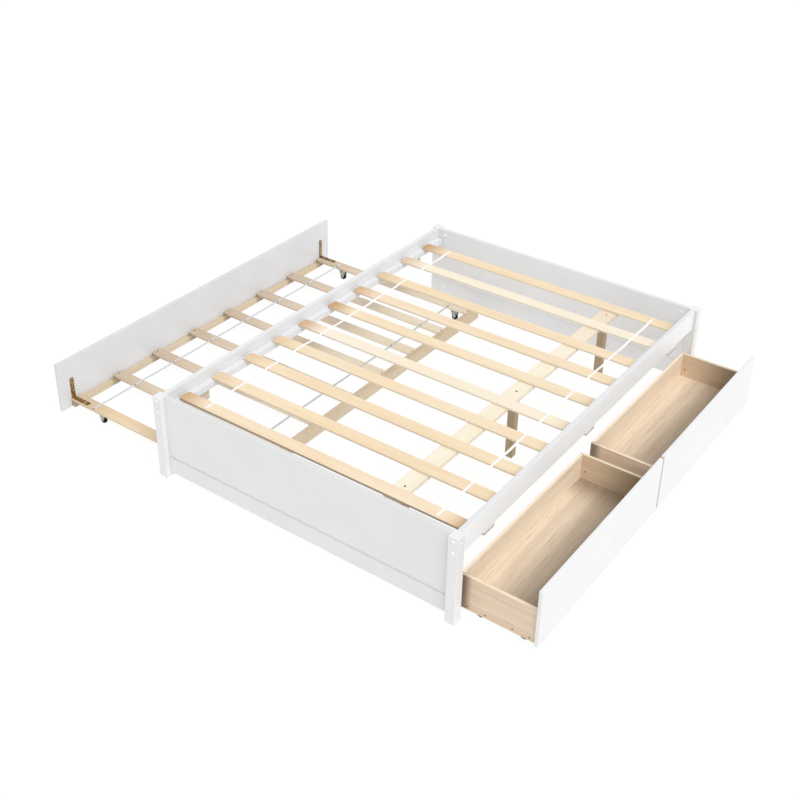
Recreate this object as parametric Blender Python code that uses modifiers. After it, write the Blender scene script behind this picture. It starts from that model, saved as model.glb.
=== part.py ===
"""Platform bed on four posts, with a slatted trundle on castors and two drawers on castors."""

import bmesh
import bpy
from mathutils import Matrix, Vector

TOUCH_GAP = 0.0003  # between pieces that touch

# Bed frame, metres. X is its width, Y its length, with the foot end at -Y.
FRAME_LENGTH = 2.020
FRAME_WIDTH = 1.457
FRAME_HEIGHT = 0.390
POST_SIDE = 0.042
END_RECESS = 0.022
END_THICKNESS = 0.019
END_PANEL_LOW = 0.101
SEAM_BEVEL = 0.0018
BOTTOM_RAIL_LOW = 0.021
SIDE_RAIL_INSET = 0.014
SIDE_RAIL_THICKNESS = 0.020
SIDE_RAIL_LOW = 0.290
CLEAT_SIDE = 0.030
CLEAT_WIDTH = 0.026
STOP_LOW = 0.238
LEFT_STOP_LOW = 0.257
STOP_THICKNESS = 0.012
STOP_SPANS = ((-0.778, -0.708), (-0.008, 0.064), (0.770, 0.855))
LEFT_STOP_SPANS = ((-0.790, -0.743), (0.743, 0.790))
SLAT_TOP = 0.351
SLAT_THICKNESS = 0.0110
SLAT_HALF_LENGTH = 0.682
SLAT_WIDTH = 0.060
SLAT_YS = (-0.885, -0.695, -0.505, -0.317, -0.142, 0.069, 0.260, 0.443, 0.643, 0.827)
WEB_WIDTH = 0.012
WEB_THICKNESS = 0.0014
BED_WEB_XS = (-0.543, 0.570)
BEAM_X = 0.3725
BEAM_WIDTH = 0.074
BEAM_THICKNESS = 0.018
BEAM_YS = (-0.905, 0.852)
LEG_SIDE = 0.034
LEG_X = 0.359
LEG_YS = (-0.810, -0.020, 0.780)

# Trundle, drawn part of the way out on the -X side.
TRUNDLE_Y = -0.031
TRUNDLE_LENGTH = 1.870
TRUNDLE_PANEL_THICKNESS = 0.018
TRUNDLE_PANEL_INNER_X = -1.375
TRUNDLE_PANEL_LOW = 0.025
TRUNDLE_PANEL_HIGH = 0.262
BATTEN_HEIGHT = 0.026
BATTEN_WIDTH = 0.022
INNER_BOARD_X = -0.383
INNER_BOARD_THICKNESS = 0.020
INNER_BOARD_LOW = 0.015
INNER_BOARD_HIGH = 0.075
DECK_TOP = 0.067
DECK_THICKNESS = 0.0125
DECK_SLAT_WIDTH = 0.056
DECK_SLAT_COUNT = 8
DECK_SLAT_REACH = 0.856
DECK_WEB_XS = (-1.233, -0.514)
DECK_WEB_WIDTH = 0.010
BRACKET_Y = 0.868
BRACKET_LEG = 0.100
BRACKET_WIDTH = 0.020
BRACKET_THICKNESS = 0.0025
TRUNDLE_CASTOR_XS = (-1.196, -0.474)
TRUNDLE_CASTOR_YS = (-0.890, 0.812)
TRUNDLE_WHEEL_RADIUS = 0.016

# Drawers, drawn all the way out on the +X side.
DRAWER_BACK_X = 0.697
DRAWER_FRONT_X = 1.015
DRAWER_SIDE_YS = (0.040, 0.935)
DRAWER_LOW = 0.025
DRAWER_HIGH = 0.178
BOARD_THICKNESS = 0.012
DRAWER_FLOOR_TOP = 0.062
DRAWER_FLOOR_THICKNESS = 0.008
FRONT_THICKNESS = 0.015
FRONT_SPANS = ((-0.947, -0.008), (-0.002, 0.942))
FRONT_LOW = 0.024
FRONT_HIGH = 0.275
DRAWER_CASTOR_XS = (0.778, 0.958)
DRAWER_CASTOR_INSET = 0.0245
DRAWER_WHEEL_RADIUS = 0.020

# Castors, of one pattern in two wheel sizes.
WHEEL_WIDTH = 0.014
AXLE_RADIUS = 0.003
BORE_RADIUS = 0.0034
CHEEK_THICKNESS = 0.0025
CHEEK_GAP = 0.0012
CHEEK_TOP_WIDTH = 0.038
CHEEK_FOOT_WIDTH = 0.014
CHEEK_FOOT_DROP = 0.007
PLATE_LENGTH = 0.060
PLATE_WIDTH = 0.0225
PLATE_THICKNESS = 0.003

HALF_X = FRAME_WIDTH / 2
HALF_Y = FRAME_LENGTH / 2
POST_CENTRE_X = HALF_X - POST_SIDE / 2
POST_CENTRE_Y = HALF_Y - POST_SIDE / 2
SPAN_X = HALF_X - POST_SIDE - TOUCH_GAP
SPAN_Y = HALF_Y - POST_SIDE - TOUCH_GAP
RAIL_OUTER_X = HALF_X - SIDE_RAIL_INSET
RAIL_INNER_X = RAIL_OUTER_X - SIDE_RAIL_THICKNESS
SLAT_UNDER = SLAT_TOP - SLAT_THICKNESS
CLEAT_TOP = SLAT_UNDER - TOUCH_GAP
BEAM_TOP = SLAT_UNDER - TOUCH_GAP
BEAM_LOW = BEAM_TOP - BEAM_THICKNESS
DECK_UNDER = DECK_TOP - DECK_THICKNESS
TRUNDLE_OUTER_X = TRUNDLE_PANEL_INNER_X - TRUNDLE_PANEL_THICKNESS
DRAWER_OUTER_X = DRAWER_FRONT_X + FRONT_THICKNESS

# The object is centred over the origin, so everything shifts by this much in X.
CENTRE_SHIFT = -(TRUNDLE_OUTER_X + DRAWER_OUTER_X) / 2


def clear_scene():
    for thing in list(bpy.data.objects):
        bpy.data.objects.remove(thing, do_unlink=True)


def make_collection(name):
    collection = bpy.data.collections.new(name)
    bpy.context.scene.collection.children.link(collection)
    return collection


def make_material(name, colour, roughness, metallic=0.0):
    material = bpy.data.materials.new(name)
    material.use_nodes = True
    shader = material.node_tree.nodes["Principled BSDF"]
    shader.inputs["Base Color"].default_value = (*colour, 1.0)
    shader.inputs["Roughness"].default_value = roughness
    shader.inputs["Metallic"].default_value = metallic
    material.diffuse_color = (*colour, 1.0)
    return material


def add_box(mesh, low, high):
    """Adds a closed box between two corners to a bmesh."""
    size = [b - a for a, b in zip(low, high)]
    middle = [(a + b) / 2 for a, b in zip(low, high)]
    place = Matrix.Translation(middle) @ Matrix.Diagonal((*size, 1.0))
    bmesh.ops.create_cube(mesh, size=1.0, matrix=place)


def finish(mesh, name, material, origin=(0.0, 0.0, 0.0), bevel=0.0, segments=2):
    """Turns a bmesh drawn in frame coordinates into a placed object with its origin where asked."""
    start = Vector(origin)
    bmesh.ops.translate(mesh, verts=mesh.verts, vec=-start)
    data = bpy.data.meshes.new(name)
    mesh.to_mesh(data)
    mesh.free()
    data.materials.append(material)
    thing = bpy.data.objects.new(name, data)
    thing.location = start + Vector((CENTRE_SHIFT, 0.0, 0.0))
    bed.objects.link(thing)
    if bevel:
        add_bevel(thing, bevel, segments)
    return thing


def add_bevel(thing, width, segments):
    bevel = thing.modifiers.new("edges", "BEVEL")
    bevel.width = width
    bevel.segments = segments
    bevel.limit_method = "ANGLE"
    bevel.angle_limit = 0.8


def make_board(name, low, high, material, bevel=0.001, segments=2):
    """A straight board between two corners, with its long edges slightly rounded."""
    mesh = bmesh.new()
    add_box(mesh, low, high)
    middle = [(a + b) / 2 for a, b in zip(low, high)]
    return finish(mesh, name, material, middle, bevel, segments)


def make_posts():
    for end, y_sign in (("foot", -1), ("head", 1)):
        for side, x_sign in (("left", -1), ("right", 1)):
            x = x_sign * POST_CENTRE_X
            y = y_sign * POST_CENTRE_Y
            half = POST_SIDE / 2
            low = (x - half, y - half, 0.0)
            high = (x + half, y + half, FRAME_HEIGHT)
            make_board("post_" + end + "_" + side, low, high, white, 0.0015, 3)


def make_ends():
    """The panel and the bottom rail between the posts at each end."""
    for end, y_sign in (("foot", -1), ("head", 1)):
        outer = y_sign * (HALF_Y - END_RECESS)
        inner = outer - y_sign * END_THICKNESS
        y_low = min(outer, inner)
        y_high = max(outer, inner)
        panel_low = END_PANEL_LOW + TOUCH_GAP
        make_board(
            "panel_" + end,
            (-SPAN_X, y_low, panel_low),
            (SPAN_X, y_high, FRAME_HEIGHT),
            white,
            SEAM_BEVEL,
        )
        make_board(
            "bottom_rail_" + end,
            (-SPAN_X, y_low, BOTTOM_RAIL_LOW),
            (SPAN_X, y_high, END_PANEL_LOW),
            white,
            SEAM_BEVEL,
        )


def make_sides():
    """The side rails, with the cleats that carry the slats fixed to their inner faces."""
    for side, sign in (("left", -1), ("right", 1)):
        rail_xs = sorted((sign * RAIL_INNER_X, sign * RAIL_OUTER_X))
        low = (rail_xs[0], -SPAN_Y, SIDE_RAIL_LOW)
        high = (rail_xs[1], SPAN_Y, FRAME_HEIGHT)
        make_board("side_rail_" + side, low, high, white)
        face = RAIL_INNER_X - TOUCH_GAP
        cleat_xs = sorted((sign * face, sign * (face - CLEAT_WIDTH)))
        reach = HALF_Y - END_RECESS - END_THICKNESS - 0.004
        low = (cleat_xs[0], -reach, CLEAT_TOP - CLEAT_SIDE)
        high = (cleat_xs[1], reach, CLEAT_TOP)
        cleat = make_board("cleat_" + side, low, high, white)
        spans, tab_low = (STOP_SPANS, STOP_LOW)
        if side == "left":
            spans, tab_low = (LEFT_STOP_SPANS, LEFT_STOP_LOW)
        join_into(cleat, make_stops(side, sign, face, spans, tab_low))


def make_stops(side, sign, face, spans, tab_low):
    """Tabs that hang from a cleat, for the closed drawer fronts or trundle panel to meet."""
    tabs = []
    xs = sorted((sign * (face - STOP_THICKNESS), sign * (face - 0.001)))
    for number, (y_low, y_high) in enumerate(spans, 1):
        mesh = bmesh.new()
        top = CLEAT_TOP - CLEAT_SIDE / 2
        add_box(mesh, (xs[0], y_low, tab_low), (xs[1], y_high, top))
        tabs.append(finish(mesh, "stop_" + side + "_" + str(number), white))
    return tabs


def make_beam():
    """The flat beam under the slats and the three legs that it stands on."""
    half = BEAM_WIDTH / 2
    low = (BEAM_X - half, BEAM_YS[0], BEAM_LOW)
    high = (BEAM_X + half, BEAM_YS[1], BEAM_TOP)
    make_board("beam", low, high, wood)
    half = LEG_SIDE / 2
    for number, y in enumerate(LEG_YS, 1):
        low = (LEG_X - half, y - half, 0.0)
        high = (LEG_X + half, y + half, BEAM_LOW - TOUCH_GAP)
        make_board("leg_" + str(number), low, high, wood)


def add_slat(mesh, x_low, x_high, y, width, under, top):
    """A slat along X with its corners cut back, drawn as a prism."""
    clip = width * 0.22
    half = width / 2
    outline = [
        (x_low + clip, y - half),
        (x_high - clip, y - half),
        (x_high, y - half + clip),
        (x_high, y + half - clip),
        (x_high - clip, y + half),
        (x_low + clip, y + half),
        (x_low, y + half - clip),
        (x_low, y - half + clip),
    ]
    corners = [mesh.verts.new((px, py, under)) for px, py in outline]
    face = mesh.faces.new(corners)
    grown = bmesh.ops.extrude_face_region(mesh, geom=[face])
    lifted = [item for item in grown["geom"] if isinstance(item, bmesh.types.BMVert)]
    bmesh.ops.translate(mesh, verts=lifted, vec=(0.0, 0.0, top - under))
    bmesh.ops.recalc_face_normals(mesh, faces=mesh.faces)


def make_slat(name, x_low, x_high, y, width, under, top):
    mesh = bmesh.new()
    add_slat(mesh, x_low, x_high, y, width, under, top)
    return finish(mesh, name, wood)


def join_into(target, others):
    """Unites helper pieces with the target, as one closed body."""
    for other in others:
        other.hide_render = True
        other.display_type = "WIRE"
        for owner in list(other.users_collection):
            owner.objects.unlink(other)
        helpers.objects.link(other)
        union = target.modifiers.new("join_" + other.name, "BOOLEAN")
        union.operation = "UNION"
        union.solver = "EXACT"
        union.object = other


def make_slat_roll(name, x_low, x_high, ys, width, under, top, web_xs, web_width):
    """Slats joined by flat webbing on their tops, so that they roll up together."""
    mesh = bmesh.new()
    for y in ys:
        add_slat(mesh, x_low, x_high, y, width, under, top)
    roll = finish(mesh, name, wood)
    webs = []
    for number, x in enumerate(web_xs, 1):
        web = bmesh.new()
        low = (x - web_width / 2, ys[0] - width * 0.3, top - WEB_THICKNESS)
        high = (x + web_width / 2, ys[-1] + width * 0.3, top + WEB_THICKNESS / 2)
        add_box(web, low, high)
        webs.append(finish(web, name + "_web_" + str(number), webbing))
    join_into(roll, webs)
    return roll


def make_bed_slats():
    make_slat_roll(
        "bed_slats",
        -SLAT_HALF_LENGTH,
        SLAT_HALF_LENGTH,
        SLAT_YS,
        SLAT_WIDTH,
        SLAT_UNDER,
        SLAT_TOP,
        BED_WEB_XS,
        WEB_WIDTH,
    )


def make_trundle():
    """The long panel, the inner board, two battens and the deck slats between them."""
    half = TRUNDLE_LENGTH / 2
    low_y = TRUNDLE_Y - half
    high_y = TRUNDLE_Y + half
    make_board(
        "trundle_panel",
        (TRUNDLE_OUTER_X, low_y, TRUNDLE_PANEL_LOW),
        (TRUNDLE_PANEL_INNER_X, high_y, TRUNDLE_PANEL_HIGH),
        white,
        0.0015,
    )
    board_low = INNER_BOARD_X - INNER_BOARD_THICKNESS / 2
    board_high = INNER_BOARD_X + INNER_BOARD_THICKNESS / 2
    make_board(
        "trundle_inner_board",
        (board_low, low_y + 0.030, INNER_BOARD_LOW),
        (board_high, high_y - 0.030, INNER_BOARD_HIGH),
        wood,
    )
    batten_top = DECK_UNDER - TOUCH_GAP
    panel_side = TRUNDLE_PANEL_INNER_X + TOUCH_GAP
    board_side = board_low - TOUCH_GAP
    batten_low_y = TRUNDLE_Y - DECK_SLAT_REACH - 0.026
    batten_high_y = TRUNDLE_Y + DECK_SLAT_REACH + 0.026
    make_board(
        "trundle_outer_batten",
        (panel_side, batten_low_y, batten_top - BATTEN_HEIGHT),
        (panel_side + BATTEN_WIDTH, batten_high_y, batten_top),
        wood,
    )
    make_board(
        "trundle_inner_batten",
        (board_side - BATTEN_WIDTH, batten_low_y, batten_top - BATTEN_HEIGHT),
        (board_side, batten_high_y, batten_top),
        wood,
    )
    pitch = 2 * DECK_SLAT_REACH / (DECK_SLAT_COUNT - 1)
    ys = [TRUNDLE_Y - DECK_SLAT_REACH + number * pitch for number in range(DECK_SLAT_COUNT)]
    x_low = panel_side
    x_high = board_side
    for end, y in (("foot", ys[0]), ("head", ys[-1])):
        make_slat(
            "trundle_end_slat_" + end, x_low, x_high, y, DECK_SLAT_WIDTH, DECK_UNDER, DECK_TOP
        )
    make_slat_roll(
        "trundle_slats",
        x_low,
        x_high,
        ys[1:-1],
        DECK_SLAT_WIDTH,
        DECK_UNDER,
        DECK_TOP,
        DECK_WEB_XS,
        DECK_WEB_WIDTH,
    )


def make_bracket(name, y):
    """A right-angle bracket with one leg up the panel and the other along the end slat."""
    half = BRACKET_WIDTH / 2
    x = TRUNDLE_PANEL_INNER_X + TOUCH_GAP
    z = DECK_TOP + TOUCH_GAP
    mesh = bmesh.new()
    outline = [
        (x, z),
        (x + BRACKET_LEG, z),
        (x + BRACKET_LEG, z + BRACKET_THICKNESS),
        (x + BRACKET_THICKNESS, z + BRACKET_THICKNESS),
        (x + BRACKET_THICKNESS, z + BRACKET_LEG),
        (x, z + BRACKET_LEG),
    ]
    corners = [mesh.verts.new((px, y - half, pz)) for px, pz in outline]
    face = mesh.faces.new(corners)
    grown = bmesh.ops.extrude_face_region(mesh, geom=[face])
    moved = [item for item in grown["geom"] if isinstance(item, bmesh.types.BMVert)]
    bmesh.ops.translate(mesh, verts=moved, vec=(0.0, BRACKET_WIDTH, 0.0))
    bmesh.ops.recalc_face_normals(mesh, faces=mesh.faces)
    return finish(mesh, name, brass)


def make_drawer(number, sign):
    """One drawer: four box sides around a raised floor, with a taller front board."""
    tag = "drawer_" + str(number) + "_"
    near, far = sorted(sign * y for y in DRAWER_SIDE_YS)
    front_low, front_high = FRONT_SPANS[number - 1]
    back = DRAWER_BACK_X
    front = DRAWER_FRONT_X - TOUCH_GAP
    wall = BOARD_THICKNESS
    make_board(
        tag + "front",
        (DRAWER_FRONT_X, front_low, FRONT_LOW),
        (DRAWER_OUTER_X, front_high, FRONT_HIGH),
        white,
        0.0015,
    )
    for label, y in (("side_foot", near), ("side_head", far - wall)):
        make_board(tag + label, (back, y, DRAWER_LOW), (front, y + wall, DRAWER_HIGH), oak)
    inner_near = near + wall + TOUCH_GAP
    inner_far = far - wall - TOUCH_GAP
    make_board(
        tag + "back",
        (back, inner_near, DRAWER_LOW),
        (back + wall, inner_far, DRAWER_HIGH),
        oak,
    )
    make_board(
        tag + "floor",
        (back + wall + TOUCH_GAP, inner_near, DRAWER_FLOOR_TOP - DRAWER_FLOOR_THICKNESS),
        (front, inner_far, DRAWER_FLOOR_TOP),
        oak,
        0.0006,
        1,
    )


def add_cylinder(mesh, centre, radius, length, sides=32):
    """A closed cylinder along Y."""
    turn = Matrix.Rotation(1.5707963267948966, 4, "X")
    place = Matrix.Translation(centre) @ turn
    bmesh.ops.create_cone(
        mesh,
        cap_ends=True,
        segments=sides,
        radius1=radius,
        radius2=radius,
        depth=length,
        matrix=place,
    )


def smooth(thing):
    """Shades round faces smooth and keeps edges over 40 degrees sharp."""
    thing.data.shade_smooth()
    thing.data.set_sharp_from_angle(angle=0.7)


def make_wheel(name, x, y, r):
    """A wheel profile turned about its axle: rounded tread, recessed web and a hub with a bore."""
    half = WHEEL_WIDTH / 2
    profile = [
        (BORE_RADIUS, -half),
        (0.0070, -half),
        (0.0076, -half + 0.0025),
        (r - 0.0055, -half + 0.0025),
        (r - 0.0045, -half),
        (r - 0.0015, -half),
        (r, -half + 0.0025),
        (r, half - 0.0025),
        (r - 0.0015, half),
        (r - 0.0045, half),
        (r - 0.0055, half - 0.0025),
        (0.0076, half - 0.0025),
        (0.0070, half),
        (BORE_RADIUS, half),
    ]
    mesh = bmesh.new()
    ring = [mesh.verts.new((radius, width, 0.0)) for radius, width in profile]
    edges = [mesh.edges.new((a, b)) for a, b in zip(ring, ring[1:] + ring[:1])]
    bmesh.ops.spin(
        mesh,
        geom=ring + edges,
        cent=(0.0, 0.0, 0.0),
        axis=(0.0, 1.0, 0.0),
        angle=6.283185307179586,
        steps=24,
        use_merge=True,
        use_duplicate=False,
    )
    bmesh.ops.recalc_face_normals(mesh, faces=mesh.faces)
    centre = Vector((x, y, r))
    bmesh.ops.translate(mesh, verts=mesh.verts, vec=centre)
    wheel = finish(mesh, name, rubber, centre)
    smooth(wheel)
    return wheel


def make_castor_fork(name, x, y, top, radius):
    """The mounting plate, two tapered cheeks and the axle of one fixed castor, as one body."""
    gap = WHEEL_WIDTH / 2 + CHEEK_GAP
    outer = gap + CHEEK_THICKNESS
    plate_low = top - PLATE_THICKNESS
    mesh = bmesh.new()
    add_box(
        mesh,
        (x - PLATE_LENGTH / 2, y - PLATE_WIDTH / 2, plate_low),
        (x + PLATE_LENGTH / 2, y + PLATE_WIDTH / 2, top),
    )
    fork = finish(mesh, name, steel, (x, y, plate_low))
    pieces = []
    for label, sign in (("a", -1), ("b", 1)):
        cheek = bmesh.new()
        ys = sorted((y + sign * gap, y + sign * outer))
        outline = [
            (x - CHEEK_TOP_WIDTH / 2, plate_low + 0.001),
            (x - CHEEK_TOP_WIDTH / 2 + 0.001, plate_low - 0.006),
            (x - CHEEK_FOOT_WIDTH / 2, radius),
            (x - CHEEK_FOOT_WIDTH * 0.28, radius - CHEEK_FOOT_DROP),
            (x + CHEEK_FOOT_WIDTH * 0.28, radius - CHEEK_FOOT_DROP),
            (x + CHEEK_FOOT_WIDTH / 2, radius),
            (x + CHEEK_TOP_WIDTH / 2 - 0.001, plate_low - 0.006),
            (x + CHEEK_TOP_WIDTH / 2, plate_low + 0.001),
        ]
        corners = [cheek.verts.new((px, ys[0], pz)) for px, pz in outline]
        face = cheek.faces.new(corners)
        grown = bmesh.ops.extrude_face_region(cheek, geom=[face])
        moved = [item for item in grown["geom"] if isinstance(item, bmesh.types.BMVert)]
        bmesh.ops.translate(cheek, verts=moved, vec=(0.0, ys[1] - ys[0], 0.0))
        bmesh.ops.recalc_face_normals(cheek, faces=cheek.faces)
        pieces.append(finish(cheek, name + "_cheek_" + label, steel))
    axle = bmesh.new()
    add_cylinder(axle, (x, y, radius), AXLE_RADIUS, 2 * outer + 0.001, 16)
    pin = finish(axle, name + "_axle", steel)
    smooth(pin)
    pieces.append(pin)
    join_into(fork, pieces)
    return fork


def make_castors():
    top = DECK_UNDER - TOUCH_GAP
    number = 0
    for x in TRUNDLE_CASTOR_XS:
        for y in TRUNDLE_CASTOR_YS:
            number += 1
            make_castor_fork("trundle_castor_" + str(number), x, y, top, TRUNDLE_WHEEL_RADIUS)
            make_wheel("trundle_wheel_" + str(number), x, y, TRUNDLE_WHEEL_RADIUS)
    top = DRAWER_FLOOR_TOP - DRAWER_FLOOR_THICKNESS - TOUCH_GAP
    for drawer, sign in ((1, -1), (2, 1)):
        number = 0
        y_low, y_high = sorted(sign * y for y in DRAWER_SIDE_YS)
        for x in DRAWER_CASTOR_XS:
            for y in (y_low + DRAWER_CASTOR_INSET, y_high - DRAWER_CASTOR_INSET):
                number += 1
                tag = "drawer_" + str(drawer)
                castor = tag + "_castor_" + str(number)
                make_castor_fork(castor, x, y, top, DRAWER_WHEEL_RADIUS)
                make_wheel(tag + "_wheel_" + str(number), x, y, DRAWER_WHEEL_RADIUS)


clear_scene()
bed = make_collection("platform_bed")
helpers = make_collection("helpers")
white = make_material("white_lacquer", (0.86, 0.86, 0.86), 0.35)
wood = make_material("pale_wood", (0.85, 0.70, 0.48), 0.55)
oak = make_material("drawer_wood", (0.74, 0.58, 0.40), 0.5)
webbing = make_material("webbing", (0.88, 0.87, 0.84), 0.9)
brass = make_material("bracket_metal", (0.35, 0.27, 0.15), 0.4, 1.0)
steel = make_material("castor_steel", (0.55, 0.53, 0.50), 0.35, 1.0)
rubber = make_material("wheel_rubber", (0.03, 0.03, 0.03), 0.6)

make_posts()
make_ends()
make_sides()
make_beam()
make_bed_slats()
make_trundle()
for end, direction in (("foot", -1), ("head", 1)):
    make_bracket("bracket_" + end, TRUNDLE_Y + direction * BRACKET_Y)
make_drawer(1, -1)
make_drawer(2, 1)
make_castors()
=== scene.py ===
import math

import bmesh
import bpy
from mathutils import Euler, Matrix, Vector


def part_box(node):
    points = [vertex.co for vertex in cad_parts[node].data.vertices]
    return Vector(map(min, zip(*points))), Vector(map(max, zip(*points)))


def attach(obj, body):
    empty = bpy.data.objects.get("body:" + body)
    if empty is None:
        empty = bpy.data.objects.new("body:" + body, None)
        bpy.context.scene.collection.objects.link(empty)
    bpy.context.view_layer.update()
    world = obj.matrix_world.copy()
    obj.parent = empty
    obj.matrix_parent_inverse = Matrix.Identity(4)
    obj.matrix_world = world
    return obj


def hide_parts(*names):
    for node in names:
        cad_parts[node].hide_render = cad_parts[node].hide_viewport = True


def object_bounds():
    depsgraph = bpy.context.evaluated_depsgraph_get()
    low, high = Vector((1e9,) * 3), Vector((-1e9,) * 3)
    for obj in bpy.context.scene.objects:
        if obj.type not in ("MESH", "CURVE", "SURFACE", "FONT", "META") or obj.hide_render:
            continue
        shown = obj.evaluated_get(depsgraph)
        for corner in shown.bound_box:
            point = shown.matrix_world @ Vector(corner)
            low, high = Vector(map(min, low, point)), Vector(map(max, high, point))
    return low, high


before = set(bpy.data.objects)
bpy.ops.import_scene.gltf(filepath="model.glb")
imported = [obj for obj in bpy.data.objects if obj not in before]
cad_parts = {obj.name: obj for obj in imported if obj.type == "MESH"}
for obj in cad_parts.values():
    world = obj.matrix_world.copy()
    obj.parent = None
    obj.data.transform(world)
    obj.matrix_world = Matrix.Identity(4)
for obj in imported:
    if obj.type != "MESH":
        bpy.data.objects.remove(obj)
cadLow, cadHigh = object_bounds()
print("frame loaded:", len(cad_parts), "nodes")


class Sock:
    # wraps one output socket, so that shader maths reads as plain expressions
    def __init__(self, recipe, socket):
        self.recipe = recipe
        self.socket = socket

    def maths(self, operation, first, second=None, clamp=False):
        values = {0: first}
        if second is not None:
            values[1] = second
        return self.recipe.node("ShaderNodeMath", {"operation": operation, "use_clamp": clamp}, values)

    def __add__(self, other):
        return self.maths("ADD", self, other)

    def __radd__(self, other):
        return self.maths("ADD", other, self)

    def __sub__(self, other):
        return self.maths("SUBTRACT", self, other)

    def __rsub__(self, other):
        return self.maths("SUBTRACT", other, self)

    def __mul__(self, other):
        return self.maths("MULTIPLY", self, other)

    def __rmul__(self, other):
        return self.maths("MULTIPLY", other, self)

    def __truediv__(self, other):
        return self.maths("DIVIDE", self, other)

    def __rtruediv__(self, other):
        return self.maths("DIVIDE", other, self)

    def __pow__(self, other):
        return self.maths("POWER", self, other)

    def __abs__(self):
        return self.maths("ABSOLUTE", self)

    def sine(self):
        return self.maths("SINE", self)

    def fraction(self):
        return self.maths("FRACT", self)

    def clamped(self):
        return self.maths("ADD", self, 0.0, clamp=True)

    def ramp(self, low, high):
        # 0 below low and 1 above high, smooth between
        settings = {"interpolation_type": "SMOOTHSTEP"}
        sockets = {"Value": self, "From Min": low, "From Max": high}
        return self.recipe.node("ShaderNodeMapRange", settings, sockets)


class Recipe:
    # one procedural material on a Principled shader
    def __init__(self, name):
        self.material = bpy.data.materials.new(name)
        self.material.use_nodes = True
        self.tree = self.material.node_tree
        self.shader = self.tree.nodes["Principled BSDF"]

    def node(self, kind, settings, sockets, out=0):
        made = self.tree.nodes.new(kind)
        for key, value in settings.items():
            setattr(made, key, value)
        for key, value in sockets.items():
            self.feed(made.inputs[key], value)
        return Sock(self, made.outputs[out])

    def feed(self, target, value):
        if isinstance(value, Sock):
            self.tree.links.new(value.socket, target)
        elif isinstance(value, (tuple, list)) and len(value) == 3 and target.type == "RGBA":
            target.default_value = (*value, 1.0)
        else:
            target.default_value = value

    def set(self, **values):
        # uniform numbers go straight on the shader's own sockets
        names = {"colour": "Base Color", "roughness": "Roughness", "metallic": "Metallic", "normal": "Normal",
                 "coat": "Coat Weight", "coatRoughness": "Coat Roughness", "specular": "Specular IOR Level",
                 "sheen": "Sheen Weight", "sheenRoughness": "Sheen Roughness"}
        for key, value in values.items():
            self.feed(self.shader.inputs[names[key]], value)

    def place(self, scale=(1.0, 1.0, 1.0), kind="Object", shift=(0.0, 0.0, 0.0)):
        outs = ["Generated", "Normal", "UV", "Object"]
        start = self.node("ShaderNodeTexCoord", {}, {}, outs.index(kind))
        return self.node("ShaderNodeMapping", {}, {"Vector": start, "Scale": scale, "Location": shift})

    def grainwise(self, look, shift=(0.0, 0.0, 0.0)):
        # squeezed along the grain, so that the figure runs with it
        scale = [1.0, 1.0, 1.0]
        scale["xyz".index(look["axis"])] = look["stretch"]
        return self.place(tuple(scale), shift=shift)

    def axis(self, vector, index):
        return self.node("ShaderNodeSeparateXYZ", {}, {"Vector": vector}, index)

    def noise(self, vector, scale, detail=3.0, roughness=0.5, distortion=0.0):
        return self.node("ShaderNodeTexNoise", {}, {"Vector": vector, "Scale": scale, "Detail": detail,
                                                     "Roughness": roughness, "Distortion": distortion})

    def blend(self, factor, first, second, how="MIX"):
        settings = {"data_type": "RGBA", "blend_type": how, "clamp_factor": True}
        return self.node("ShaderNodeMix", settings, {0: factor, 6: first, 7: second}, 2)

    def bump(self, height, distance, strength=1.0):
        sockets = {"Height": height, "Distance": distance, "Strength": strength}
        return self.node("ShaderNodeBump", {}, sockets)

    def stained(self, base, look):
        # each mark runs from one position along an axis to another, where it is full; the marks are painted
        # shade, painted light and stains
        for along, start, full, amount, tone in look.get("stains", ()):
            across = self.axis(self.place(), "xyz".index(along))
            base = self.blend(across.ramp(start, full) * amount, base, tone)
        return base


fullTurn = 6.2832  # radians
# tones that painted marks blend towards: crown is painted shade on upward lacquer faces, gap painted shade
# along a seam, beside a painted shadow next to slats, and the fourth greys faces that stand upright
shadeTones = {"crown": (0.45, 0.45, 0.45), "gap": (0.26, 0.26, 0.26), "beside": (0.22, 0.14, 0.08),
              "greySides": (0.70, 0.64, 0.55)}


def makeLacquer(name, look):
    # sprayed paint on smooth board: faint mottling, orange peel, painted shade on upward faces and painted
    # shade along a seam
    r = Recipe(name)
    here = r.place()
    cloud = r.noise(here, 5.0, 3.0, 0.5)
    peel = r.noise(here, 420.0, 2.0, 0.5)
    dust = r.noise(here, 60.0, 4.0, 0.7)
    base = r.blend(cloud.ramp(0.3, 0.7), look["low"], look["high"])
    # painted shade greys the faces that look upward
    if "crown" in look:
        topShadeMask = r.axis(r.place(kind="Normal"), 2).ramp(0.7, 0.95)
        base = r.blend(topShadeMask * look["crown"], base, shadeTones["crown"])
    # painted shade along the seam, on the outer face only
    if "seam" in look:
        height, half = look["seam"]
        near = 1.0 - abs(r.axis(here, 2) - height).ramp(half * 0.3, half)
        outer = abs(r.axis(here, 1)).ramp(panelOuterY - 0.005, panelOuterY - 0.002)
        base = r.blend(near * outer * 0.18, base, shadeTones["gap"])
    r.set(colour=r.stained(base, look),
          roughness=look["roughness"] + (dust - 0.5) * 0.10,
          coat=look["coat"], coatRoughness=0.25,
          normal=r.bump(peel, 0.00006, 0.5))
    return r.material


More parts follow.
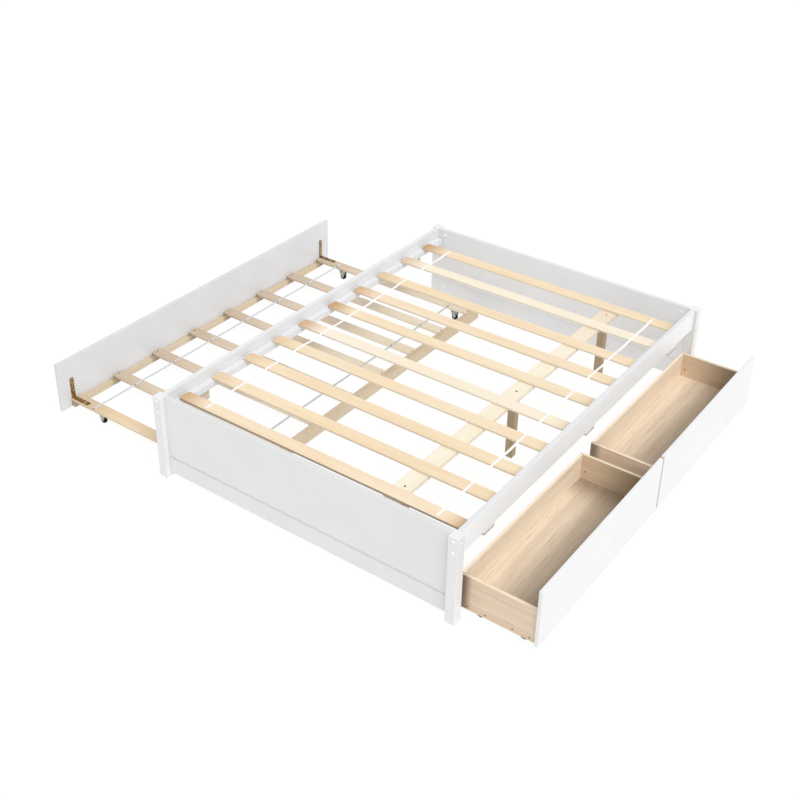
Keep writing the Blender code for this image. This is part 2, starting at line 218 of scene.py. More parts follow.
def makeWood(name, look):
    # sawn softwood: growth bands and fine fibres along the grain, warmer patches, greyer upright faces
    r = Recipe(name)
    seed = look["seed"]
    here = r.grainwise(look, (seed * 3.1, seed * 1.7, seed * 2.3))
    drift = r.noise(here, look["bandScale"] * 0.35, 2.0, 0.5)
    bands = r.noise(here, look["bandScale"], 4.0, 0.6, 0.6)
    fibres = r.noise(here, look["bandScale"] * 9.0, 3.0, 0.7)
    rings = ((bands * 9.0 + drift * 4.0) * fullTurn).sine() * 0.5 + 0.5
    rings = rings * 0.22 * drift.ramp(0.35, 0.65)
    tone = bands.ramp(0.30, 0.70) * 0.45 + rings + fibres.ramp(0.35, 0.75) * 0.33
    base = r.blend(tone.clamped(), look["light"], look["dark"])
    patch = r.noise(r.place(shift=(seed, 0.0, 0.0)), 2.3, 2.0, 0.5).ramp(0.42, 0.68)
    base = r.blend(patch * look["patch"], base, look["warm"])
    base = r.stained(base, look)
    if "shade" in look:
        # a short shadow beside each slat that crosses this board
        first, pitch, begin, full = look["shade"]
        beside = ((r.axis(r.place(), 1) - first) / pitch).fraction().ramp(begin, full)
        base = r.blend(beside * 0.6, base, shadeTones["beside"])
    # faces that stand upright turn greyer, by the side amount
    side = 1.0 - abs(r.axis(r.place(kind="Normal"), 2)).ramp(0.4, 0.8)
    base = r.blend(side * look.get("side", 0.0), base, shadeTones["greySides"])
    pores = r.noise(here, look["bandScale"] * 22.0, 2.0, 0.8)
    base = r.blend(pores.ramp(0.60, 0.78) * look["pores"], base, look["dark"], "MULTIPLY")
    r.set(colour=base, roughness=0.50 + fibres * 0.16, specular=0.35,
          normal=r.bump(fibres * 0.6 + pores * 0.4, 0.00018, 0.35))
    return r.material


def makeVeneer(name, look):
    # printed or cut veneer: long even streaks with fine dark lines
    r = Recipe(name)
    here = r.grainwise(look)
    wide = r.noise(here, 16.0, 3.0, 0.55, 0.25)
    streaks = r.noise(here, 70.0, 4.0, 0.65)
    lines = r.noise(here, 260.0, 3.0, 0.7)
    tone = wide.ramp(0.30, 0.70) * 0.50 + streaks.ramp(0.32, 0.70) * 0.50
    base = r.blend(tone.clamped(), look["light"], look["dark"])
    base = r.blend(lines.ramp(0.54, 0.72) * look["lines"], base, look["line"], "MULTIPLY")
    base = r.stained(base, look)
    r.set(colour=base, roughness=0.46 + lines * 0.12, specular=0.4,
          normal=r.bump(lines, 0.00012, 0.3))
    return r.material


def makeWebbing(name, look):
    # flat woven tape: ribs across and threads along its length
    r = Recipe(name)
    here = r.place()
    acrossRib = (r.axis(here, 0) * (fullTurn / look["thread"])).sine() * 0.5 + 0.5
    alongRib = (r.axis(here, 1) * (fullTurn / look["rib"])).sine() * 0.5 + 0.5
    weave = acrossRib * 0.5 + alongRib * 0.5
    fuzz = r.noise(here, 900.0, 2.0, 0.6)
    r.set(colour=r.blend(weave, look["low"], look["high"]), roughness=0.72 + fuzz * 0.15, sheen=0.25,
          sheenRoughness=0.5, normal=r.bump(weave * 0.8 + fuzz * 0.2, 0.0002, 0.6))
    return r.material


def makeMetal(name, look):
    # plated steel with rubbed patches and fine scratches
    r = Recipe(name)
    here = r.place()
    rub = r.noise(here, 55.0, 4.0, 0.6)
    grain = r.noise(r.place((1.0, 0.08, 1.0)), 1400.0, 2.0, 0.5)
    r.set(colour=r.blend(rub.ramp(0.35, 0.68), look["dark"], look["light"]), metallic=look["metallic"],
          roughness=look["roughness"] + rub * 0.18, normal=r.bump(grain, 0.00004, 0.4))
    return r.material


def makeWheel(name, look):
    # black tread and moulded hub, told apart by distance from the axle
    r = Recipe(name)
    spot = r.place(kind="Generated")
    across = (r.axis(spot, 0) - 0.5) * 2.0
    up = (r.axis(spot, 2) - 0.5) * 2.0
    reach = (across * across + up * up) ** 0.5
    hub = 1.0 - reach.ramp(0.66, 0.72)
    scuff = r.noise(r.place(), 300.0, 3.0, 0.6)
    tread = r.blend(scuff.ramp(0.5, 0.8) * 0.5, look["tread"], look["scuffed"])
    r.set(colour=r.blend(hub, tread, look["hub"]), roughness=0.62 - hub * 0.2 + scuff * 0.1, specular=0.15,
          normal=r.bump(scuff, 0.0001, 0.4))
    return r.material


def makePlastic(name, look):
    # moulded plastic with a faint grain
    r = Recipe(name)
    fine = r.noise(r.place(), 700.0, 2.0, 0.5)
    r.set(colour=r.blend(fine, look["low"], look["high"]), roughness=look["roughness"] + fine * 0.08,
          specular=look.get("specular", 0.5),
          normal=r.bump(fine, 0.00005, 0.4))
    return r.material


lacquerLook = {"low": (0.765, 0.765, 0.768), "high": (0.785, 0.785, 0.787), "roughness": 0.38, "coat": 0.12}
lacquer = makeLacquer("satinWhiteLacquer", lacquerLook)
# a darker copy of the white lacquer paints shade on the trundle panel, with a little painted shade on its
# upward faces
shadedTrundleLacquer = makeLacquer("trundleShadedWhiteLacquer", {**lacquerLook, "low": (0.655, 0.66, 0.675),
                                                     "high": (0.68, 0.685, 0.70), "crown": 0.06})
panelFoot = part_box("panel_foot")
panelOuterY = abs(panelFoot[0][1])
seamHeight = (panelFoot[0][2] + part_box("bottom_rail_foot")[1][2]) / 2
seam = (seamHeight, 0.0100)  # its height and half its shaded width
# lit and shaded copies of the white lacquer, one for each side of the frame: the right rail painted lighter,
# the left rail and the foot end darker, the head end a cooler grey; crown is painted shade on upward faces
litAndShadedSideLooks = {
    "right": {**lacquerLook, "low": (0.87, 0.885, 0.905), "high": (0.885, 0.90, 0.92), "crown": 0.40},
    "left": {**lacquerLook, "low": (0.725, 0.74, 0.76), "high": (0.745, 0.76, 0.78), "crown": 0.05,
             "roughness": 0.60, "coat": 0.0},
    "foot": {**lacquerLook, "low": (0.735, 0.74, 0.745), "high": (0.755, 0.76, 0.765), "crown": 0.25,
             "seam": seam},
    "head": {**lacquerLook, "low": (0.765, 0.78, 0.80), "high": (0.785, 0.80, 0.82), "crown": 0.25,
             "seam": seam}}
litAndShadedLacquers = {side: makeLacquer(side + "WhiteLacquer", look) for side, look in litAndShadedSideLooks.items()}

slatLook = {"axis": "x", "stretch": 0.045, "bandScale": 34.0, "light": (0.845, 0.735, 0.565),
            "dark": (0.75, 0.585, 0.385), "warm": (0.80, 0.62, 0.41), "patch": 0.45, "pores": 0.22}
woodTones = {
    "honey": {},
    "pale": {"light": (0.85, 0.78, 0.655), "dark": (0.80, 0.685, 0.52), "warm": (0.82, 0.70, 0.53)},
    "golden": {"light": (0.84, 0.715, 0.53), "dark": (0.74, 0.56, 0.35)},
    "peach": {"light": (0.845, 0.725, 0.555), "dark": (0.77, 0.58, 0.395)}}


def woodFor(tone, axis, seed, **more):
    look = {**slatLook, **woodTones[tone], "axis": axis, "seed": seed, **more}
    return makeWood("softwood_" + tone + "_" + axis + "_" + str(seed), look)


def middleOf(node, along):
    low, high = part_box(node)
    return (low[along] + high[along]) / 2


frameMiddle = middleOf("bed_slats", 0)
print("finishes ready")


def addPiece(name, mesh, material, body, smoothAngle=None):
    data = bpy.data.meshes.new(name)
    mesh.normal_update()
    mesh.to_mesh(data)
    mesh.free()
    data.materials.append(material)
    piece = bpy.data.objects.new(name, data)
    bpy.context.scene.collection.objects.link(piece)
    if smoothAngle is not None:
        data.shade_smooth()
        data.set_sharp_from_angle(angle=smoothAngle)
    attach(piece, body)
    return piece


def roundedOutline(xLow, xHigh, yLow, yHigh, radius, steps):
    # corners of a rectangle turned into arcs, counter-clockwise
    corners = ((xHigh - radius, yLow + radius, -90), (xHigh - radius, yHigh - radius, 0),
               (xLow + radius, yHigh - radius, 90), (xLow + radius, yLow + radius, 180))
    points = []
    for cx, cy, start in corners:
        for step in range(steps + 1):
            angle = math.radians(start + 90 * step / steps)
            points.append((cx + radius * math.cos(angle), cy + radius * math.sin(angle)))
    return points


def addPrism(mesh, points, low, high, soft):
    # a flat board of that outline with softened top and bottom edges
    rows = ((low, soft), (low + soft, 0.0), (high - soft, 0.0), (high, soft))
    middle = Vector((sum(p[0] for p in points), sum(p[1] for p in points))) / len(points)
    rings = []
    for z, inset in rows:
        ring = []
        for px, py in points:
            away = Vector((px, py)) - middle
            step = Vector((math.copysign(inset, away.x), math.copysign(inset, away.y)))
            ring.append(mesh.verts.new((px - step.x, py - step.y, z)))
        rings.append(ring)
    count = len(points)
    for lower, upper in zip(rings, rings[1:]):
        for i in range(count):
            j = (i + 1) % count
            mesh.faces.new((lower[i], lower[j], upper[j], upper[i]))
    mesh.faces.new(list(reversed(rings[0])))
    mesh.faces.new(rings[-1])


def addLathe(mesh, profile, place, sides=20):
    # turns (radius, height) pairs about the placed Z axis; a radius of 0 closes to one point
    rings = []
    for radius, height in profile:
        if radius == 0.0:
            rings.append([mesh.verts.new(place @ Vector((0.0, 0.0, height)))])
            continue
        ring = []
        for side in range(sides):
            turn = 2 * math.pi * side / sides
            point = Vector((radius * math.cos(turn), radius * math.sin(turn), height))
            ring.append(mesh.verts.new(place @ point))
        rings.append(ring)
    for lower, upper in zip(rings, rings[1:]):
        for i in range(sides):
            j = (i + 1) % sides
            if len(lower) == 1:
                mesh.faces.new((lower[0], upper[j], upper[i]))
            elif len(upper) == 1:
                mesh.faces.new((lower[i], lower[j], upper[0]))
            else:
                mesh.faces.new((lower[i], lower[j], upper[j], upper[i]))


def facing(point, direction):
    # a placement whose Z axis looks along a direction
    turn = Vector(direction).to_track_quat("Z", "Y").to_matrix().to_4x4()
    return Matrix.Translation(point) @ turn


slatShape = {"corner": 0.011, "steps": 5, "soft": 0.0016, "smoothAngle": 0.6}


def makeSlat(name, low, high, y, width, material, body, replaced):
    mesh = bmesh.new()
    sides = (low[0], high[0], y - width / 2, y + width / 2)
    outline = roundedOutline(*sides, slatShape["corner"], slatShape["steps"])
    addPrism(mesh, outline, low[2], high[2], slatShape["soft"])
    piece = addPiece(name, mesh, material, body, slatShape["smoothAngle"])
    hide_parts(replaced)


# the end tone and the left and right end amounts paint shade on the slats' ends beside the rails
deckSlats = {"ys": (-0.885, -0.695, -0.505, -0.317, -0.142, 0.069, 0.260, 0.443, 0.643, 0.827),
             "width": 0.060, "web": 0.0007, "endShadeTone": (0.50, 0.30, 0.14), "gapShadeTone": (0.09, 0.06, 0.035),
             "leftShadeFade": (-0.53, -0.69), "rightShadeFade": (0.59, 0.69), "gapShadeFade": (-0.0284, -0.0296),
             "gapShadeAmount": 0.85, "side": 0.45,
             "tones": ("peach", "golden", "golden", "honey", "pale", "honey", "honey", "golden", "pale",
                       "golden"),
             "leftEndShade": (0.82, 0.34, 0.36, 0.40, 0.85, 1.0, 0.75, 0.45, 0.55, 1.0),
             "rightEndShade": (0.75, 0.05, 0.06, 0.05, 0.30, 0.32, 0.08, 0.02, 0.02, 0.18)}
deckLow, deckHigh = [Vector(corner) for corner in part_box("bed_slats")]
deckTop = deckHigh.z - deckSlats["web"]
deckRows = zip(deckSlats["ys"], deckSlats["tones"], deckSlats["leftEndShade"], deckSlats["rightEndShade"])
for number, (y, tone, left, right) in enumerate(deckRows, 1):
    # painted shade darkens each slat towards both ends
    leftShadeFade = [frameMiddle + x for x in deckSlats["leftShadeFade"]]
    rightShadeFade = [frameMiddle + x for x in deckSlats["rightShadeFade"]]
    stains = [("x", *leftShadeFade, left, deckSlats["endShadeTone"]), ("x", *rightShadeFade, right, deckSlats["endShadeTone"])]
    if number == 1:
        # painted shade along the first slat's outer edge, which lies in the narrow gap behind the end panel
        begin, full = deckSlats["gapShadeFade"]
        stains.append(("y", y + begin, y + full, deckSlats["gapShadeAmount"], deckSlats["gapShadeTone"]))
    finish = woodFor(tone, "x", number, side=deckSlats["side"], stains=stains)
    makeSlat("deckSlat." + str(number), deckLow, Vector((deckHigh.x, 0, deckTop)), y, deckSlats["width"],
             finish, "root", "bed_slats")

# the outer tone paints shade on the slats' outer ends beside the panel; the inner tone paints light on their
# inner ends, under the deck
trundleSlats = {
    "width": 0.056, "firstSeed": 20, "outerShadeTone": (0.37, 0.27, 0.18), "innerLightTone": (0.90, 0.82, 0.65),
    "outerShadeFade": (0.32, 0.06), "outerShadeAmount": 0.40, "innerLightFade": (-0.86, -0.60), "innerLightAmount": 0.60,
    "tones": ("golden", "pale", "honey", "pale", "honey", "honey", "pale", "honey"),
    "look": {"light": (0.71, 0.605, 0.485), "dark": (0.56, 0.45, 0.335), "warm": (0.62, 0.48, 0.35),
             "pores": 0.45},
    "firstLook": {"light": (0.79, 0.65, 0.465), "dark": (0.67, 0.49, 0.30), "warm": (0.74, 0.53, 0.33)}}
endFoot = [Vector(corner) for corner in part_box("trundle_end_slat_foot")]
firstY = middleOf("trundle_end_slat_foot", 1)
lastY = middleOf("trundle_end_slat_head", 1)
lastSlat = len(trundleSlats["tones"]) - 1
outerShadeFade = [endFoot[0].x + x for x in trundleSlats["outerShadeFade"]]
innerLightFade = [frameMiddle + x for x in trundleSlats["innerLightFade"]]
# painted shade at the outer ends, painted light towards the inner ends
trundlePaintedLight = (("x", *outerShadeFade, trundleSlats["outerShadeAmount"], trundleSlats["outerShadeTone"]),
                 ("x", *innerLightFade, trundleSlats["innerLightAmount"], trundleSlats["innerLightTone"]))
trundleYs = []
for number, tone in enumerate(trundleSlats["tones"]):
    y = firstY + (lastY - firstY) * number / lastSlat
    trundleYs.append(y)
    replaced = {0: "trundle_end_slat_foot", lastSlat: "trundle_end_slat_head"}.get(number, "trundle_slats")
    look = trundleSlats["firstLook" if number == 0 else "look"]
    finish = woodFor(tone, "x", trundleSlats["firstSeed"] + number, stains=trundlePaintedLight, **look)
    makeSlat("trundleSlat." + str(number + 1), endFoot[0], endFoot[1], y, trundleSlats["width"], finish,
             "trundle", replaced)
print("slats made")


def makeStrap(name, x, ys, width, top, thickness, slatWidth, sag, reach, material, body):
    # a flat tape that lies on each slat and hangs a little between them
    path = []
    half = slatWidth / 2
    for number, y in enumerate(ys):
        begin = -reach if number == 0 else -half
        end = reach if number == len(ys) - 1 else half
        for step in (begin, begin * 0.5, 0.0, end * 0.5, end):
            path.append((y + step, top))
        if number < len(ys) - 1:
            gap = ys[number + 1] - y - slatWidth
            for part in range(1, 8):
                share = part / 8
                path.append((y + half + gap * share, top - sag * math.sin(math.pi * share)))
    mesh = bmesh.new()
    rings = []
    for y, z in path:
        rings.append([mesh.verts.new((x + side * width / 2, y, z + lift))
                      for side, lift in ((-1, 0.0), (1, 0.0), (1, thickness), (-1, thickness))])
    for one, two in zip(rings, rings[1:]):
        for i in range(4):
            j = (i + 1) % 4
            mesh.faces.new((one[j], one[i], two[i], two[j]))
    mesh.faces.new(rings[0])
    mesh.faces.new(list(reversed(rings[-1])))
    bmesh.ops.recalc_face_normals(mesh, faces=mesh.faces)
    return addPiece(name, mesh, material, body)


def makeStaples(name, spots, width, wire, material, body):
    # thin wire crowns pressed into the tape
    mesh = bmesh.new()
    for x, y, z in spots:
        place = Matrix.Translation((x, y, z + wire * 0.6)) @ Matrix.Diagonal((width, wire, wire * 1.2, 1.0))
        made = bmesh.ops.create_cube(mesh, size=1.0, matrix=place)
        edges = {edge for vert in made["verts"] for edge in vert.link_edges}
        bmesh.ops.bevel(mesh, geom=list(edges), offset=wire * 0.25, segments=1, affect="EDGES")
    return addPiece(name, mesh, material, body, 0.9)


strapLook = {"low": (0.82, 0.82, 0.81), "high": (0.93, 0.93, 0.92), "thread": 0.0022, "rib": 0.0016}
strapWeb = makeWebbing("wovenStrap", strapLook)
tapeLook = {"low": (0.50, 0.51, 0.52), "high": (0.64, 0.66, 0.67), "thread": 0.0020, "rib": 0.0016}
tapeWeb = makeWebbing("wovenTape", tapeLook)
stapleLook = {"dark": (0.50, 0.50, 0.49), "light": (0.72, 0.72, 0.70), "metallic": 1.0, "roughness": 0.3}
stapleWire = makeMetal("stapleWire", stapleLook)
darkWire = makeMetal("darkWire", {"dark": (0.06, 0.05, 0.04), "light": (0.16, 0.14, 0.12), "metallic": 0.8,
                                  "roughness": 0.4})
tapeGap = 0.0001  # between a tape and the slat under it
straps = {"name": "deckStrap.", "staples": "deckStaples.", "xs": (-0.543, 0.570), "width": 0.0105,
          "thickness": 0.0007, "sag": 0.004, "reach": 0.019, "crown": 0.009, "wire": 0.0006, "aside": 0.0,
          "steps": (-0.010, 0.010)}
tapes = {"name": "trundleTape.", "staples": "trundleStaples.", "xs": (-1.233, -0.514), "width": 0.0115,
         "thickness": 0.0007, "sag": 0.002, "reach": 0.018, "crown": 0.010, "wire": 0.0022, "aside": 0.001,
         "steps": (-0.0245,)}
webbing = ((straps, deckSlats["ys"], deckSlats["width"], deckTop, strapWeb, stapleWire, "root"),
           (tapes, trundleYs, trundleSlats["width"], endFoot[1].z, tapeWeb, darkWire, "trundle"))
for tape, ys, slatWidth, top, web, wire, body in webbing:
    for number, x in enumerate(tape["xs"], 1):
        x += frameMiddle
        makeStrap(tape["name"] + str(number), x, ys, tape["width"], top + tapeGap, tape["thickness"], slatWidth,
                  tape["sag"], tape["reach"], web, body)
        onTop = top + tapeGap + tape["thickness"]
        spots = [(x + tape["aside"], y + step, onTop) for y in ys for step in tape["steps"]]
        makeStaples(tape["staples"] + str(number), spots, tape["crown"], tape["wire"], wire, body)
print("webbing made")


capShape = {"radius": 0.0065, "lift": 0.0022, "rim": 0.0006}
capLook = {"low": (0.90, 0.90, 0.90), "high": (0.93, 0.93, 0.93), "roughness": 0.3}
capPlastic = makePlastic("capPlastic", capLook)


def makeCap(name, point, direction, body, scale=1.0):
    radius, lift, rim = [capShape[key] * scale for key in ("radius", "lift", "rim")]
    profile = ((0.0, 0.0), (radius * 0.9, 0.0), (radius, rim * 0.4), (radius, rim),
               (radius * 0.93, lift * 0.55), (radius * 0.75, lift * 0.80), (radius * 0.45, lift * 0.95),
               (0.0, lift))
    mesh = bmesh.new()
    addLathe(mesh, profile, facing(point, direction), 24)
    bmesh.ops.recalc_face_normals(mesh, faces=mesh.faces)
    return addPiece(name, mesh, capPlastic, body, 0.9)


caps = {"endHeights": (0.372, 0.322), "sideHeights": (0.363, 0.072), "panelHeights": (0.362, 0.068),
        "sideStep": 0.020, "panelStep": 0.034, "gap": 0.0002, "sideScale": 0.85, "panelScale": 1.2}
for end, outward in (("foot", -1), ("head", 1)):
    for side, sign in (("left", -1), ("right", 1)):
        low, high = [Vector(corner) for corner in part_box("post_" + end + "_" + side)]
        middle = (low + high) / 2
        tag = "cap." + end + side.capitalize() + "."
        for number, z in enumerate(caps["endHeights"], 1):
            y = (high.y if outward > 0 else low.y) + outward * caps["gap"]
            makeCap(tag + "end" + str(number), (middle.x, y, z), (0, outward, 0), "root")
        for number, z in enumerate(caps["sideHeights"], 1):
            x = (high.x if sign > 0 else low.x) + sign * caps["gap"]
            y = (high.y if outward > 0 else low.y) - outward * caps["sideStep"]
            makeCap(tag + "side" + str(number), (x, y, z), (sign, 0, 0), "root", caps["sideScale"])
        panelLow, panelHigh = [Vector(corner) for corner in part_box("panel_" + end)]
        for number, z in enumerate(caps["panelHeights"], 1):
            y = (panelLow.y if outward > 0 else panelHigh.y) - outward * caps["gap"]
            x = (low.x if sign > 0 else high.x) - sign * caps["panelStep"]
            owner = "bottom_rail_" + end if z < panelLow.z else "panel_" + end
            makeCap(tag + "inner" + str(number), (x, y, z), (0, -outward, 0), "root", caps["panelScale"])
print("caps made")


screwSides = 16
darkScrewLook = {"dark": (0.05, 0.04, 0.03), "light": (0.16, 0.13, 0.10), "metallic": 0.9, "roughness": 0.4}
darkScrew = makeMetal("darkScrew", darkScrewLook)
zincScrewLook = {"dark": (0.42, 0.38, 0.28), "light": (0.62, 0.58, 0.46), "metallic": 1.0, "roughness": 0.3}
zincScrew = makeMetal("zincScrew", zincScrewLook)


def addScrew(mesh, point, direction, radius):
    # a shallow domed head with a sunken middle
    profile = ((0.0, -0.0001), (radius, -0.0001), (radius, 0.0002), (radius * 0.85, 0.0007),
               (radius * 0.55, 0.0010), (radius * 0.42, 0.0010), (radius * 0.30, 0.0003), (0.0, 0.0001))
    addLathe(mesh, profile, facing(point, direction), screwSides)


def makeScrews(name, spots, material, body):
    mesh = bmesh.new()
    for point, direction, radius in spots:
        addScrew(mesh, point, direction, radius)
    bmesh.ops.recalc_face_normals(mesh, faces=mesh.faces)
    return addPiece(name, mesh, material, body, 0.7)


up = (0, 0, 1)
screwGap = 0.0002  # between a head and the face that it sits on
beamScrews = {"aside": 0.002, "step": -0.014, "radius": 0.0045}
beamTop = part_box("beam")[1][2]
legTops = []
for number in (1, 2, 3):
    x = middleOf("beam", 0) + beamScrews["aside"]
    y = middleOf("leg_" + str(number), 1) + beamScrews["step"]
    legTops.append(((x, y, beamTop + screwGap), up, beamScrews["radius"]))
makeScrews("beamScrews", legTops, darkScrew, "root")

slatScrews = {"inset": 0.012, "radius": 0.0035}
trundleTop = endFoot[1].z + screwGap
spots = []
for number, y in enumerate(trundleYs):
    spots.append(((endFoot[1].x - slatScrews["inset"], y, trundleTop), up, slatScrews["radius"]))
    if 0 < number < lastSlat:
        spots.append(((endFoot[0].x + slatScrews["inset"], y, trundleTop), up, slatScrews["radius"]))
makeScrews("trundleSlatScrews", spots, darkScrew, "trundle")

bracketScrews = {"shares": (0.35, 0.80), "lift": 0.0027, "radius": 0.0034}
for end in ("foot", "head"):
    low, high = [Vector(corner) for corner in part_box("bracket_" + end)]
    y = middleOf("bracket_" + end, 1)
    lift, radius = bracketScrews["lift"], bracketScrews["radius"]
    spots = []
    for share in bracketScrews["shares"]:
        spots.append(((low.x + (high.x - low.x) * share, y, low.z + lift), up, radius))
        spots.append(((low.x + lift, y, low.z + (high.z - low.z) * share), (1, 0, 0), radius))
    makeScrews("bracketScrews." + end, spots, zincScrew, "trundle")

drawerScrews = {"sideShares": (0.115, 0.352, 0.703, 0.918), "sideHeight": 0.014, "sideRadius": 0.0030,
                "innerStep": 0.030, "innerHeight": 0.074, "innerRadius": 0.0034,
                "backShares": (0.25, 0.5, 0.75), "backHeight": 0.004, "backRadius": 0.0028}
for drawer in ("drawer_1", "drawer_2"):
    spots = []
    for side, outward in (("side_foot", -1), ("side_head", 1)):
        low, high = [Vector(corner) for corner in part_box(drawer + "_" + side)]
        outer = (low.y if outward < 0 else high.y) + outward * screwGap
        inner = (high.y if outward < 0 else low.y) - outward * screwGap
        z = low.z + drawerScrews["sideHeight"]
        for share in drawerScrews["sideShares"]:
            x = low.x + (high.x - low.x) * share
            spots.append(((x, outer, z), (0, outward, 0), drawerScrews["sideRadius"]))
        place = (low.x + drawerScrews["innerStep"], inner, low.z + drawerScrews["innerHeight"])
        spots.append((place, (0, -outward, 0), drawerScrews["innerRadius"]))
    low, high = [Vector(corner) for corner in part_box(drawer + "_back")]
    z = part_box(drawer + "_floor")[0][2] + drawerScrews["backHeight"]
    for share in drawerScrews["backShares"]:
        y = low.y + (high.y - low.y) * share
        spots.append(((low.x - screwGap, y, z), (-1, 0, 0), drawerScrews["backRadius"]))
    makeScrews(drawer + ".screws", spots, darkScrew, drawer)
print("screws made")


def finishNode(node, material):
    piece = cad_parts[node]
    piece.data.materials.clear()
    piece.data.materials.append(material)


drawerLook = {"axis": "x", "stretch": 0.03, "light": (0.79, 0.635, 0.48), "dark": (0.64, 0.485, 0.345),
              "line": (0.66, 0.55, 0.45), "lines": 0.60}
floorLook = {"axis": "y", "light": (0.86, 0.735, 0.585), "dark": (0.65, 0.51, 0.375), "lines": 0.80}
# the back board takes a paler copy of the veneer, which paints light on its inner face
litBackLook = {"axis": "y", "light": (0.95, 0.82, 0.665), "dark": (0.83, 0.69, 0.54)}
boardLooks = {"floor": {**drawerLook, **floorLook}, "back": {**drawerLook, **litBackLook},
              "side_head": drawerLook, "side_foot": drawerLook}
# the drawer tone is painted shade inside the drawers; the edge tone is paler
shadeTones["drawer"] = (0.175, 0.12, 0.07)
shadeTones["drawerEdge"] = (0.87, 0.78, 0.62)
# painted shade: the floor and head side darken towards the front, the foot side towards the back beside the
# post, drawer 1's floor towards its far wall; the edge entry pales each wall board's top
drawerFades = {"floor": (0.03, 0.27, 0.72), "side_head": (0.02, 0.30, 0.80),
               "side_foot": (0.055, 0.015, 0.90), "farCornerShade": (0.17, 0.72), "edge": (0.0030, 0.0012, 0.50)}


def drawerFinish(drawer, board):
    # painted shade darkens the boards towards the front and beside the post, and their top edges are paler
    low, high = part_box(drawer + "_" + board)
    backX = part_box(drawer + "_back")[0][0]
    stains = []
    if board in drawerFades:
        start, full, amount = drawerFades[board]
        stains.append(("x", backX + start, backX + full, amount, shadeTones["drawer"]))
    if board != "floor":
        start, full, amount = drawerFades["edge"]
        stains.append(("z", high[2] - start, high[2] - full, amount, shadeTones["drawerEdge"]))
    elif drawer == "drawer_1":
        reach, amount = drawerFades["farCornerShade"]
        stains.append(("y", high[1] - reach, high[1], amount, shadeTones["drawer"]))
    name = drawer + "_" + board.split("_")[-1] + "Veneer"
    return makeVeneer(name, {**boardLooks[board], "stains": stains})


bracketLook = {"dark": (0.14, 0.08, 0.03), "light": (0.55, 0.34, 0.12), "metallic": 0.85, "roughness": 0.26}
bracketMetal = makeMetal("bronzePlate", bracketLook)
castorLook = {"dark": (0.22, 0.215, 0.20), "light": (0.52, 0.51, 0.48), "metallic": 0.8, "roughness": 0.30}
castorMetal = makeMetal("castorZinc", castorLook)
darkCastor = makePlastic("castorBlack", {"low": (0.003, 0.003, 0.003), "high": (0.010, 0.010, 0.010),
                                         "roughness": 0.7, "specular": 0.1})
wheelBlack = makeWheel("castorWheel", {"tread": (0.006, 0.006, 0.006), "scuffed": (0.02, 0.02, 0.02),
                                       "hub": (0.02, 0.02, 0.02)})
legWood = {"light": (0.42, 0.32, 0.215), "dark": (0.31, 0.22, 0.135), "warm": (0.38, 0.26, 0.155)}
# the beam's last entry darkens it towards the head end
beamWood = {"light": (0.86, 0.80, 0.675), "dark": (0.81, 0.715, 0.56), "warm": (0.82, 0.72, 0.56),
            "stains": (("y", 0.25, 0.80, 0.40, (0.62, 0.47, 0.30)),)}
railWood = {"light": (0.67, 0.57, 0.43), "dark": (0.52, 0.42, 0.28), "warm": (0.60, 0.46, 0.30),
            "pores": 0.40}
besideSlats = (firstY, trundleYs[1] - trundleYs[0], 0.76, 0.86)
nodeWood = {"beam": woodFor("pale", "y", 40, **beamWood),
            "leg_": woodFor("honey", "z", 41, **legWood),
            "trundle_inner_board": woodFor("honey", "y", 43, **railWood),
            "trundle_outer_batten": woodFor("honey", "y", 44, shade=besideSlats, **railWood),
            "trundle_inner_batten": woodFor("honey", "y", 45, **railWood)}


cleatFades = {"left": (-0.030, -0.032, 0.75, (0.58, 0.45, 0.31)),
              "right": (0.006, 0.004, 0.95, (0.25, 0.15, 0.08))}


def cleatFinish(node):
    # painted like the rails, with raw wood low on the tabs that hang below
    low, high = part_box(node)
    side = node.split("_")[-1]
    start, full, amount, tone = cleatFades[side]
    base = low[2] if side == "right" else high[2]
    stains = [("z", base + start, base + full, amount, tone)]
    return makeLacquer(node + "Lacquer", {**litAndShadedSideLooks[side], "stains": stains})


frontFade = (0.0090, 0.0010, 0.35, (0.25, 0.25, 0.25))


def frontFinish(node):
    # the edge that faces the other front lies in shade
    low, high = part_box(node)
    edge, inward = (high[1], -1) if node == "drawer_1_front" else (low[1], 1)
    start, full, amount, tone = frontFade
    stains = [("y", edge + inward * start, edge + inward * full, amount, tone)]
    return makeLacquer(node + "Lacquer", {**lacquerLook, "stains": stains})


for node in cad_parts:
    if node.startswith("post_"):
        finishNode(node, lacquer)
    elif node.endswith("_front"):
        finishNode(node, frontFinish(node))
    # end panels, bottom rails and side rails take the lacquer copy painted with their side's light and shade
    elif node.startswith(("panel_", "bottom_", "side_")):
        finishNode(node, litAndShadedLacquers[node.split("_")[-1]])
    elif node.startswith("cleat_"):
        finishNode(node, cleatFinish(node))
    elif node == "trundle_panel":
        finishNode(node, shadedTrundleLacquer)
    elif "_wheel_" in node:
        finishNode(node, wheelBlack)
    elif "_castor_" in node:
        finishNode(node, castorMetal if node.startswith("trundle_") else darkCastor)
    elif node.startswith("bracket_"):
        finishNode(node, bracketMetal)
    elif node.startswith("drawer_"):
        finishNode(node, drawerFinish(node[:8], node[9:]))
    else:
        for start, material in nodeWood.items():
            if node.startswith(start):
                finishNode(node, material)
print("carried-over parts finished")


studio = {"floorSize": 60.0, "floorGlow": 1.02, "floorMatt": 0.08, "floorTone": (0.85, 0.85, 0.85),
          "floorDrop": 0.0005, "sky": 0.76, "sun": 1.72, "sunWidth": 35, "sunTone": (1.0, 0.995, 0.985),
          "sunFrom": (0.55, -0.24, 0.78)}


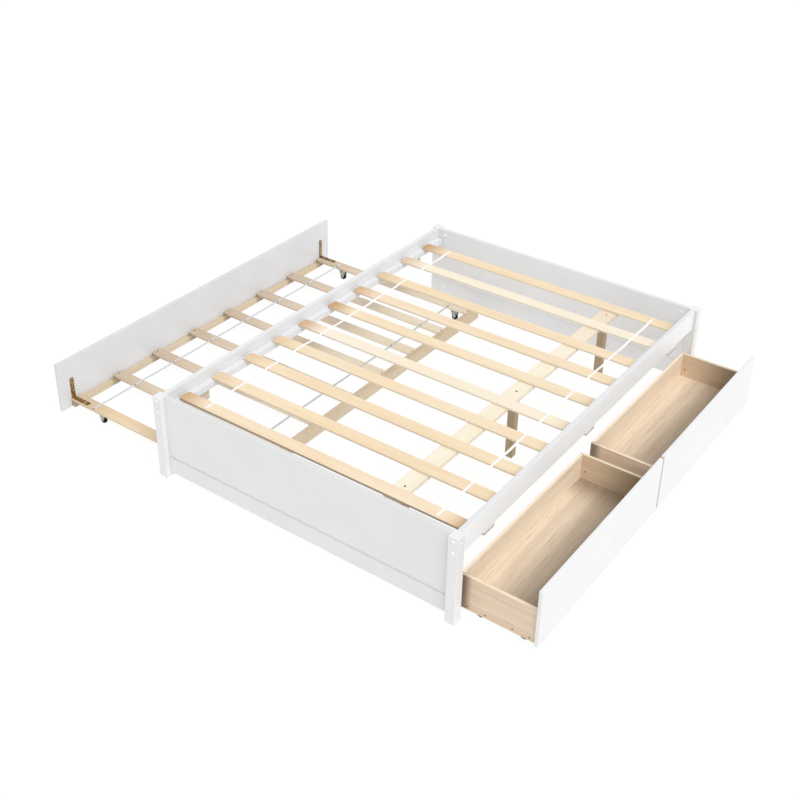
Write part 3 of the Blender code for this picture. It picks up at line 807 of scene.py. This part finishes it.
def makeFloor():
    # white sweep that takes only a hint of shade
    recipe = Recipe("paleFloor")
    glowSockets = {"Color": (1.0, 1.0, 1.0), "Strength": studio["floorGlow"]}
    glow = recipe.node("ShaderNodeEmission", {}, glowSockets)
    matt = recipe.node("ShaderNodeBsdfDiffuse", {}, {"Color": studio["floorTone"]})
    both = recipe.node("ShaderNodeMixShader", {}, {0: studio["floorMatt"], 1: glow, 2: matt})
    recipe.feed(recipe.tree.nodes["Material Output"].inputs["Surface"], both)
    mesh = bmesh.new()
    bmesh.ops.create_grid(mesh, x_segments=2, y_segments=2, size=studio["floorSize"])
    data = bpy.data.meshes.new("floor")
    mesh.to_mesh(data)
    mesh.free()
    data.materials.append(recipe.material)
    floor = bpy.data.objects.new("floor", data)
    floor.location.z = cadLow[2] - studio["floorDrop"]
    bpy.context.scene.collection.objects.link(floor)


def makeLight():
    world = bpy.data.worlds.new("studio")
    bpy.context.scene.world = world
    world.use_nodes = True
    ground = world.node_tree.nodes["Background"]
    ground.inputs["Color"].default_value = (1.0, 1.0, 1.0, 1.0)
    ground.inputs["Strength"].default_value = studio["sky"]
    lamp = bpy.data.lights.new("keyLight", "SUN")
    lamp.energy = studio["sun"]
    lamp.angle = math.radians(studio["sunWidth"])
    lamp.color = studio["sunTone"]
    key = bpy.data.objects.new("keyLight", lamp)
    key.rotation_euler = Vector(studio["sunFrom"]).to_track_quat("Z", "Y").to_euler()
    bpy.context.scene.collection.objects.link(key)


cameraSetup = {"place": (2.3602, -3.6885, 3.0414), "turn": (60.053, -1.0668, 35.611), "lens": 53.89,
               "shift": (-0.0050, -0.0985)}


def makeCamera():
    data = bpy.data.cameras.new("camera")
    data.sensor_width = 36.0
    data.lens = cameraSetup["lens"]
    data.shift_x, data.shift_y = cameraSetup["shift"]
    camera = bpy.data.objects.new("camera", data)
    camera.location = Vector(cameraSetup["place"]) + Vector((frameMiddle, 0.0, 0.0))
    camera.rotation_euler = Euler([math.radians(angle) for angle in cameraSetup["turn"]], "XYZ")
    bpy.context.scene.collection.objects.link(camera)
    bpy.context.scene.camera = camera


makeFloor()
makeLight()
makeCamera()
bpy.context.scene.view_settings.view_transform = "Standard"
print("floor, light and camera ready")
